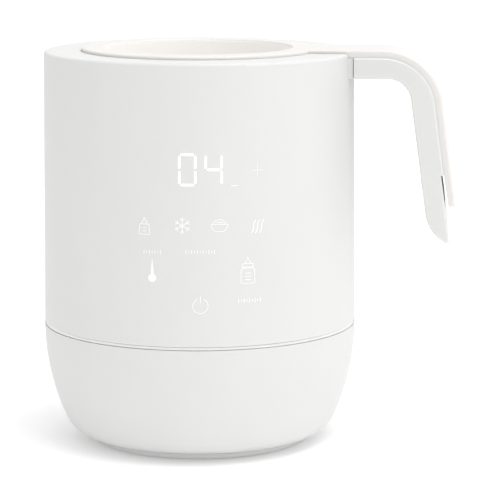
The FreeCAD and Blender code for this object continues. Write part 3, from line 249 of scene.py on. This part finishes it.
def spun_metal(name, colour, roughness, axis_scale, ring=0.35 * MM):
    """Sheet metal with the fine lines that turning or rolling leaves."""
    material, tree, shader, place = start_material(name)
    lines = noise(tree, stretched(tree, place, axis_scale), ring, 3.0, 0.6)
    stains = noise(tree, place, 14 * MM, 4.0, 0.55)
    tone = blend_colours(tree, spread(tree, stains, 0.0, 1.0), scaled(colour, 0.88), colour)
    tree.links.new(tone, shader.inputs["Base Color"])
    tree.links.new(
        spread(tree, lines, roughness - 0.07, roughness + 0.09), shader.inputs["Roughness"]
    )
    shader.inputs["Metallic"].default_value = 1.0
    add_bump(tree, shader, lines, 0.006 * MM)
    return material


def tank_aluminium():
    """Drawn aluminium: fine rings at each height of the tank."""
    return spun_metal("tank_aluminium", (0.83, 0.84, 0.85), 0.34, (0.05, 0.05, 1.0))


def plain_steel():
    return spun_metal("plain_steel", (0.66, 0.66, 0.67), 0.30, (0.2, 1.0, 1.0), 0.25 * MM)


def contact_brass():
    return spun_metal("contact_brass", (0.78, 0.58, 0.26), 0.26, (1.0, 1.0, 0.3), 0.3 * MM)


def glazed_ceramic():
    """Glazed ceramic: glossy, with tiny pits and a faint warm crackle of tone."""
    material, tree, shader, place = start_material("glazed_ceramic")
    pits = add_node(
        tree, "ShaderNodeTexVoronoi", {"Vector": place, "Scale": 1.0 / (0.8 * MM)}
    ).outputs["Distance"]
    cloud = noise(tree, place, 3 * MM, 3.0)
    tone = blend_colours(
        tree, spread(tree, cloud, 0.0, 1.0), (0.78, 0.74, 0.66), (0.88, 0.86, 0.81)
    )
    tree.links.new(tone, shader.inputs["Base Color"])
    tree.links.new(spread(tree, pits, 0.22, 0.10, 0.0, 0.4), shader.inputs["Roughness"])
    add_bump(tree, shader, spread(tree, pits, 0.0, 1.0, 0.0, 0.15), 0.008 * MM)
    return material


def circuit_board():
    """Green solder resist over a woven board, with slightly paler tracks under it."""
    material, tree, shader, place = start_material("circuit_board")
    tracks = add_node(
        tree,
        "ShaderNodeTexBrick",
        {
            "Vector": place,
            "Scale": 1.0 / (6 * MM),
            "Mortar Size": 0.07,
            "Color1": (0.0, 0.0, 0.0, 1.0),
            "Color2": (0.0, 0.0, 0.0, 1.0),
            "Mortar": (1.0, 1.0, 1.0, 1.0),
        },
        offset=0.5,
    ).outputs["Color"]
    tone = blend_colours(tree, tracks, (0.012, 0.12, 0.045), (0.03, 0.24, 0.09))
    tree.links.new(tone, shader.inputs["Base Color"])
    weave = noise(tree, stretched(tree, place, (1.0, 0.3, 1.0)), 0.5 * MM, 2.0)
    tree.links.new(spread(tree, weave, 0.22, 0.34), shader.inputs["Roughness"])
    add_bump(tree, shader, tracks, 0.03 * MM)
    return material


def black_plastic():
    """Dark moulding compound of relays, chips and can sleeves."""
    material, _, _ = moulded_plastic(
        "black_plastic", (0.035, 0.035, 0.037), 0.46, 0.5 * MM, 0.02 * MM, 0.7
    )
    return material


def connector_plastic():
    material, _, _ = moulded_plastic(
        "connector_plastic", (0.70, 0.67, 0.58), 0.40, 0.5 * MM, 0.01 * MM, 0.94
    )
    return material


def transformer_iron():
    """Stacked laminations under varnish: a dark and a darker line for every sheet."""
    material, tree, shader, place = start_material("transformer_iron")
    sheets = add_node(
        tree,
        "ShaderNodeTexWave",
        {"Vector": place, "Scale": 1.0 / (3.2 * MM), "Distortion": 0.4, "Detail": 1.0},
        bands_direction="X",
    ).outputs["Fac"]
    tone = blend_colours(tree, sheets, (0.05, 0.045, 0.04), (0.16, 0.15, 0.14))
    tree.links.new(tone, shader.inputs["Base Color"])
    tree.links.new(spread(tree, sheets, 0.55, 0.35, 0.0, 1.0), shader.inputs["Roughness"])
    shader.inputs["Metallic"].default_value = 0.6
    add_bump(tree, shader, sheets, 0.05 * MM)
    return material


def led_resin():
    """Clear yellowish casting resin with a cloudy heart."""
    material, tree, shader, place = start_material("led_resin")
    heart = noise(tree, place, 0.9 * MM, 2.0)
    tone = blend_colours(tree, spread(tree, heart, 0.0, 1.0), (0.92, 0.84, 0.52), (0.95, 0.93, 0.8))
    tree.links.new(tone, shader.inputs["Base Color"])
    tree.links.new(spread(tree, heart, 0.08, 0.16), shader.inputs["Roughness"])
    shader.inputs["Transmission Weight"].default_value = 0.5
    return material


def lead_insulation():
    """Extruded insulation: silky along the lead, with faint draw lines."""
    material, tree, shader, place = start_material("lead_insulation")
    draw = noise(tree, stretched(tree, place, (1.0, 1.0, 0.15)), 0.4 * MM, 2.0)
    tone = blend_colours(tree, spread(tree, draw, 0.0, 1.0), (0.74, 0.74, 0.72), (0.82, 0.82, 0.8))
    tree.links.new(tone, shader.inputs["Base Color"])
    tree.links.new(spread(tree, draw, 0.36, 0.48), shader.inputs["Roughness"])
    add_bump(tree, shader, draw, 0.01 * MM)
    return material


def lit_mark(name, level):
    """White light that comes through the wall, a little uneven as it is behind real LEDs."""
    material, tree, shader, place = start_material(name)
    patch = noise(tree, place, 2.5 * MM, 1.0)
    tree.links.new(
        spread(tree, patch, level * 0.94, level * 1.04), shader.inputs["Emission Strength"]
    )
    shader.inputs["Emission Color"].default_value = (1.0, 1.0, 1.0, 1.0)
    shader.inputs["Base Color"].default_value = (0.5, 0.5, 0.5, 1.0)
    shader.inputs["Roughness"].default_value = 0.42
    return material


SLOT_MATERIALS = {
    "shell_plastic": housing_plastic,
    "seam_plastic": seam_plastic,
    "basket_plastic": basket_plastic,
    "grip_plastic": grip_plastic,
    "foot_rubber": foot_rubber,
    "silicone": silicone,
    "inner_plastic": inner_plastic,
    "tank_aluminium": tank_aluminium,
    "steel": plain_steel,
    "ceramic_white": glazed_ceramic,
    "circuit_board": circuit_board,
    "black_plastic": black_plastic,
    "connector_plastic": connector_plastic,
    "transformer_iron": transformer_iron,
    "led_resin": led_resin,
    "contact_brass": contact_brass,
    "lead_insulation": lead_insulation,
}


def finish_cad_nodes():
    """Gives every CAD node the material of its slot in the record."""
    made = {slot: maker() for slot, maker in SLOT_MATERIALS.items()}
    for name, item in frame["nodes"].items():
        item.data.materials.clear()
        item.data.materials.append(made[record_slots[name]])


# ------------------------------------------------------------------------------- marks on the wall

housing = frame["nodes"]["upper_housing"]
WALL_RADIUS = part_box("upper_housing")[1].y

# A mark starts this far above the wall and ends this far inside it. Rays towards the wall
# start well outside the object.
MARK_LIFT = 0.04 * MM
MARK_DEPTH = 0.15 * MM
RAY_START = 200 * MM

# A stroke is cut across at even steps, and more often near its ends, at these shares of its
# half width from the end. A cut that is closer than this to the one before it is left out.
STEP = 0.5 * MM
END_SHARES = (0.05, 0.15, 0.35, 0.65, 1.0)
CLOSEST = 0.004 * MM

# How far ahead of a cut the stroke's direction is read as well, so that corners are mitred.
LOOK_AHEAD = 0.01 * MM

# Two points of a path that coincide count as this far apart, in metres.
SHORTEST_RUN = 1e-9

# Share of its width that a stroke keeps at a pointed end and at a rounded end.
POINT_SHARE = 0.25
ROUND_SHARE = 0.05

# A stroke's cut grows wider in a corner, by one over the cosine of half the turn. This is the
# smallest cosine that counts.
SHARPEST = 0.6

# The drawings below are in millimetres around each mark's own middle.
THIN = 0.26
BAR = 1.0


def wall_at(across, height):
    """The wall's point and outward direction, this far round the front from its middle line."""
    turn = across / WALL_RADIUS
    outward = Vector((math.sin(turn), -math.cos(turn), 0.0))
    start = outward * RAY_START + Vector((0.0, 0.0, height))
    found, spot, _, _ = housing.ray_cast(start, -outward)
    if not found:
        raise RuntimeError(f"no wall at {across}, {height}")
    return spot, outward


def distances(points, closed):
    """The path, with its first point again at the end if it is closed, and how far each is along it."""
    runs = [0.0]
    loop = points + points[:1] if closed else points
    for first, second in zip(loop, loop[1:]):
        runs.append(runs[-1] + math.dist(first, second))
    return loop, runs


def stations(runs, half, closed):
    """Distances along a path: its corners, even steps, and close steps at the ends."""
    total = runs[-1]
    found = set(runs)
    count = max(2, math.ceil(total / STEP))
    found.update(total * index / count for index in range(count + 1))
    if not closed:
        for share in END_SHARES:
            found.update((share * half, total - share * half))
    places = sorted(place for place in found if 0.0 <= place <= total)
    kept = [places[0]]
    for place in places[1:]:
        if place - kept[-1] > CLOSEST:
            kept.append(place)
    return kept[:-1] if closed else kept


def along(loop, runs, place):
    """The point on a path at a distance, and the direction of its run there."""
    for index in range(len(runs) - 1):
        if place <= runs[index + 1]:
            break
    share = (place - runs[index]) / max(runs[index + 1] - runs[index], SHORTEST_RUN)
    first, second = Vector(loop[index]), Vector(loop[index + 1])
    return first.lerp(second, share), (second - first).normalized()


def half_width(place, total, half, ends):
    """Half of a stroke's width at a distance, less near its rounded or pointed ends."""
    inward = min(place, total - place, half)
    if ends == "point":
        return half * (POINT_SHARE + (1 - POINT_SHARE) * inward / half)
    return math.sqrt(max(half * half - (half - inward) ** 2, (ROUND_SHARE * half) ** 2))


def add_stroke(mesh, points, width, ends, closed):
    """Adds a thin raised line that follows a path of (across, height) points on the wall."""
    loop, runs = distances(points, closed)
    half = width / 2
    total = runs[-1]
    sections = []
    for place in stations(runs, half, closed):
        middle, before = along(loop, runs, place)
        beyond = place + LOOK_AHEAD
        _, after = along(loop, runs, beyond % total if closed else min(beyond, total))
        heading = (before + after).normalized()
        aside = Vector((-heading.y, heading.x))
        reach = half if closed else half_width(place, total, half, ends)
        reach /= max(SHARPEST, heading.dot(before))
        corners = []
        for side in (1, -1):
            flat = middle + aside * (side * reach)
            spot, outward = wall_at(flat.x, flat.y)
            corners.append(mesh.verts.new(spot + outward * MARK_LIFT))
            corners.append(mesh.verts.new(spot - outward * MARK_DEPTH))
        sections.append(corners)
    pairs = list(zip(sections, sections[1:]))
    if closed:
        pairs.append((sections[-1], sections[0]))
    for (a, b, c, d), (e, f, g, h) in pairs:
        for face in ((a, e, g, c), (b, d, h, f), (a, b, f, e), (c, g, h, d)):
            mesh.faces.new(face)
    if not closed:
        for a, b, c, d in (sections[0], sections[-1]):
            mesh.faces.new((a, c, d, b))


def arc(middle, radius, start, end, count=24):
    """Points on a circle, from one angle in degrees to another."""
    turns = [math.radians(start + (end - start) * index / count) for index in range(count + 1)]
    return [
        (middle[0] + radius * math.cos(turn), middle[1] + radius * math.sin(turn))
        for turn in turns
    ]


def circle(middle, radius):
    return arc(middle, radius, 0.0, 360.0, 28)[:-1]


def make_mark(name, strokes, spot, material):
    """A piece made of strokes, drawn around its middle on the front wall."""
    mesh = bmesh.new()
    for points, width, ends, closed in strokes:
        placed = [(spot[0] + x * MM, spot[1] + y * MM) for x, y in points]
        add_stroke(mesh, placed, width * MM, ends, closed)
    bmesh.ops.recalc_face_normals(mesh, faces=mesh.faces)
    data = bpy.data.meshes.new(name)
    mesh.to_mesh(data)
    mesh.free()
    data.materials.append(material)
    piece = bpy.data.objects.new(name, data)
    bpy.context.scene.collection.objects.link(piece)
    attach(piece, "housing")
    return piece


def line(*points, width=THIN):
    return list(points), width, "round", False


def ring(points):
    return list(points), THIN, "round", True


def solid_dot(middle, radius):
    """A filled disc: a ring whose line is nearly as wide as its own radius."""
    return circle(middle, radius / 2), radius * 0.98, "round", True


def segment(start, end):
    return [start, end], BAR, "point", False


def seven_segments(lit):
    """The lit bars of one digit, named from a at the top round to f, with g in the middle."""
    side, top, gap = 3.2, 6.05, 0.4
    bars = {
        "a": ((-side + gap, top), (side - gap, top)),
        "b": ((side, top - gap), (side, gap)),
        "c": ((side, -gap), (side, -top + gap)),
        "d": ((-side + gap, -top), (side - gap, -top)),
        "e": ((-side, -gap), (-side, -top + gap)),
        "f": ((-side, top - gap), (-side, gap)),
        "g": ((-side + gap, 0.0), (side - gap, 0.0)),
    }
    return [segment(*bars[name]) for name in lit]


def small_bottle():
    """A feeding bottle with its teat, collar and a short scale."""
    teat = [(-1.3, 1.0), (-1.1, 1.6), (-0.45, 2.2), (-0.35, 3.0)] + arc((0, 3.05), 0.35, 160, 20, 8)
    teat += [(0.35, 3.0), (0.45, 2.2), (1.1, 1.6), (1.3, 1.0)]
    body = [(-1.9, 0.9), (1.9, 0.9), (2.3, -2.5)] + arc((1.8, -2.75), 0.55, -10, -90, 6)
    body += arc((-1.8, -2.75), 0.55, -90, -170, 6)
    scale = [line((-0.9, height), (0.9, height)) for height in (-0.7, -1.9)]
    return [line(*teat), ring(body)] + scale


def snowflake():
    """Six arms, each with two short barbs."""
    strokes = []
    for index in range(6):
        turn = math.radians(30 + 60 * index)
        ahead = Vector((math.cos(turn), math.sin(turn)))
        strokes.append(line((0.0, 0.0), tuple(ahead * 3.4), width=0.32))
        for side in (-1, 1):
            barb = Vector((math.cos(turn + side * 0.9), math.sin(turn + side * 0.9)))
            root = ahead * 2.1
            strokes.append(line(tuple(root), tuple(root + barb * 1.2)))
    return strokes


def food_bowl():
    """A bowl under a low heap of food."""
    heap = arc((0, 0.35), 2.7, 170, 10, 18)
    heap = [(x, 0.4 + (y - 0.4) * 0.75) for x, y in heap]
    bowl = [(-3.5, 0.5), (3.5, 0.5), (3.1, -0.8), (2.1, -2.0), (1.4, -2.4)]
    bowl += [(-1.4, -2.4), (-2.1, -2.0), (-3.1, -0.8)]
    return [line(*heap), ring(bowl), line((-1.6, 1.25), (1.6, 1.25))]


def heat_waves():
    """Three leaning waves of rising heat."""
    strokes = []
    for middle in (-1.75, 0.0, 1.75):
        wave = []
        for index in range(21):
            share = index / 20
            sway = 0.36 * math.sin(share * 2 * math.pi)
            wave.append((middle + (share - 0.5) * 2.1 + sway, (share - 0.5) * 5.4))
        strokes.append(line(*wave, width=0.36))
    return strokes


def thermometer():
    """A filled bulb under a stem that thins out upward."""
    return [
        solid_dot((0.0, -3.0), 1.55),
        line((0.0, -2.0), (0.0, 1.2), width=0.9),
        line((0.0, 1.0), (0.0, 2.9), width=0.4),
        line((0.0, 2.7), (0.0, 4.3), width=0.18),
    ]


def large_bottle():
    """A tall feeding bottle with collar, shoulder and a filling scale."""
    teat = [(-1.3, 3.1), (-0.35, 4.6), (-0.3, 5.1)] + arc((0, 5.1), 0.3, 180, 0, 8)
    teat += [(0.35, 4.6), (1.3, 3.1)]
    collar = [(-2.1, 3.0), (2.1, 3.0), (2.3, 1.5), (-2.3, 1.5)]
    body = [(-2.3, 1.2), (2.3, 1.2), (2.9, 0.3), (2.9, -4.4)] + arc((2.3, -4.5), 0.6, 0, -90, 6)
    body += arc((-2.3, -4.5), 0.6, -90, -180, 6) + [(-2.9, 0.3)]
    strokes = [line(*teat), ring(collar), ring(body)]
    scale = [line((-1.3, height), (1.3, height)) for height in (-0.9, -2.2, -3.5)]
    return strokes + scale


def power_sign():
    """The usual open ring with an upright bar."""
    return [
        line(*arc((0.0, -0.4), 3.05, 115, 425, 40)),
        line((0.0, 0.7), (0.0, 3.6)),
    ]


def plus_sign():
    return [line((-2.2, 0.0), (2.2, 0.0)), line((0.0, -2.2), (0.0, 2.2))]


def caption(count):
    """A short row of plain ticks, long and short by turns, where the object carries a caption."""
    height = 1.8
    pitch = 1.15
    start = -pitch * (count - 1) / 2
    strokes = []
    for index in range(count):
        across = start + pitch * index
        reach = height / 2 if index % 2 == 0 else height / 4
        strokes.append(line((across, -reach), (across, reach)))
    return strokes


def solid_middles(name):
    """The middle of each separate solid in a CAD node."""
    mesh = bmesh.new()
    mesh.from_mesh(frame["nodes"][name].data)
    bmesh.ops.remove_doubles(mesh, verts=mesh.verts, dist=0.001 * MM)
    waiting = set(mesh.verts)
    middles = []
    while waiting:
        group = {waiting.pop()}
        edge_of_group = list(group)
        while edge_of_group:
            vertex = edge_of_group.pop()
            for edge in vertex.link_edges:
                other = edge.other_vert(vertex)
                if other in waiting:
                    waiting.discard(other)
                    group.add(other)
                    edge_of_group.append(other)
        low = Vector(min(v.co[i] for v in group) for i in range(3))
        high = Vector(max(v.co[i] for v in group) for i in range(3))
        middles.append((low + high) / 2)
    mesh.free()
    return middles


def in_front_of(spot):
    """How far round the wall, and how high, a point on the display board shines out."""
    return math.asin(spot.x / WALL_RADIUS) * WALL_RADIUS, spot.z


# How far the point between the two digits is from the digit module's left end, and the places
# of the digits and the unit mark around that point.
DIGITS_INSET = 11.4 * MM
DIGIT_ASIDE = 5.3 * MM
UNIT_ASIDE = 13.7 * MM
UNIT_DROP = 6.5 * MM

# LEDs whose heights round to the same multiple of this are in one row.
LED_ROW = 12 * MM


def draw_digits(bright, faint):
    """The two digits, and a dash where their unit stands."""
    low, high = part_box("digit_module")
    middle = (low + high) / 2
    middle.x = low.x + DIGITS_INSET
    across, height = in_front_of(middle)
    make_mark("digit_zero", seven_segments("abcdef"), (across - DIGIT_ASIDE, height), bright)
    make_mark("digit_four", seven_segments("bcfg"), (across + DIGIT_ASIDE, height), bright)
    dash = line((-1.5, 0.0), (1.5, 0.0), width=0.45)
    make_mark("unit_dash", [dash], (across + UNIT_ASIDE, height - UNIT_DROP), faint)


def reading_order(spot):
    """Sorts LEDs by row from the lowest up, and from left to right in each row."""
    return round(spot.z / LED_ROW), spot.x


def light_up_display():
    """Draws each lit mark on the wall in front of the part that lights it."""
    bright = lit_mark("lit_digits", 0.65)
    clear = lit_mark("lit_symbols", 0.45)
    faint = lit_mark("lit_faint", 0.36)
    draw_digits(bright, faint)
    leds = sorted(solid_middles("icon_leds"), key=reading_order)
    signs = (
        ("sign_power", power_sign, clear),
        ("sign_thermometer", thermometer, bright),
        ("sign_large_bottle", large_bottle, clear),
        ("sign_small_bottle", small_bottle, clear),
        ("sign_snowflake", snowflake, clear),
        ("sign_bowl", food_bowl, clear),
        ("sign_heat", heat_waves, clear),
        ("sign_plus", plus_sign, faint),
    )
    spots = {}
    for (name, drawing, material), led in zip(signs, leds):
        spots[name] = in_front_of(led)
        make_mark(name, drawing(), spots[name], material)
    # Each row of ticks: the sign it belongs to, its shift and rise from there in millimetres,
    # and its number of ticks.
    captions = (
        ("caption_thermometer", "sign_thermometer", 0.0, 7.5, 7),
        ("caption_middle", "sign_power", 0.0, 21.5, 11),
        ("caption_bottle", "sign_large_bottle", 0.7, -12.0, 9),
    )
    for name, near, shift, rise, count in captions:
        spot = (spots[near][0] + shift * MM, spots[near][1] + rise * MM)
        make_mark(name, caption(count), spot, clear)


# ----------------------------------------------------------------------------- floor, light, camera

# The camera's place, how far it looks down and how far it is turned to its right, in degrees.
CAMERA_SPOT = (0.0, -1.003, 0.2508)
LOOK_DOWN = 9.658
TURN_RIGHT = 1.222


def floor_material():
    """White paper that fills its own shadows a little."""
    material, tree, shader, place = start_material("studio_paper")
    fibre = noise(tree, place, 1.2 * MM, 3.0)
    cloud = noise(tree, place, 0.4, 2.0)
    tone = blend_colours(tree, spread(tree, cloud, 0.0, 1.0), (0.87, 0.87, 0.87), (0.89, 0.89, 0.89))
    tree.links.new(tone, shader.inputs["Base Color"])
    tree.links.new(spread(tree, fibre, 0.85, 0.95), shader.inputs["Roughness"])
    shader.inputs["Specular IOR Level"].default_value = 0.2
    shader.inputs["Emission Color"].default_value = (1.0, 1.0, 1.0, 1.0)
    shader.inputs["Emission Strength"].default_value = 0.19
    return material


def studio_floor():
    """A round floor, much larger than the object."""
    mesh = bmesh.new()
    bmesh.ops.create_circle(mesh, cap_ends=True, segments=96, radius=4.0)
    data = bpy.data.meshes.new("studio_floor")
    mesh.to_mesh(data)
    mesh.free()
    data.materials.append(floor_material())
    piece = bpy.data.objects.new("studio_floor", data)
    bpy.context.scene.collection.objects.link(piece)


def soft_box(name, spot, target, side, power):
    """A square lamp that faces a target."""
    light = bpy.data.lights.new(name, "AREA")
    light.shape = "SQUARE"
    light.size = side
    light.energy = power
    item = bpy.data.objects.new(name, light)
    item.location = spot
    item.rotation_euler = (Vector(target) - Vector(spot)).to_track_quat("-Z", "Y").to_euler()
    bpy.context.scene.collection.objects.link(item)


def studio_world(left, right):
    """White surroundings that grow brighter from the left of the room to its right."""
    world = bpy.data.worlds.new("studio")
    world.use_nodes = True
    tree = world.node_tree
    background = tree.nodes["Background"]
    background.inputs["Color"].default_value = (1.0, 1.0, 1.0, 1.0)
    direction = add_node(tree, "ShaderNodeTexCoord").outputs["Generated"]
    across = add_node(tree, "ShaderNodeSeparateXYZ", {"Vector": direction}).outputs["X"]
    tree.links.new(spread(tree, across, left, right, -1.0, 1.0), background.inputs["Strength"])
    bpy.context.scene.world = world


def studio_lights():
    middle = (cad_low + cad_high) / 2
    studio_world(left=0.70, right=1.14)
    soft_box("key_box", spot=(0.45, -0.4, 2.1), target=middle, side=1.2, power=20.0)


def camera():
    data = bpy.data.cameras.new("camera")
    data.lens = 172.0
    data.sensor_width = 36.0
    data.clip_start = 0.05
    item = bpy.data.objects.new("camera", data)
    item.location = CAMERA_SPOT
    item.rotation_euler = (math.radians(90 - LOOK_DOWN), 0.0, math.radians(-TURN_RIGHT))
    bpy.context.scene.collection.objects.link(item)
    bpy.context.scene.camera = item


finish_cad_nodes()
light_up_display()
studio_floor()
studio_lights()
camera()
bpy.context.scene.view_settings.view_transform = "Standard"
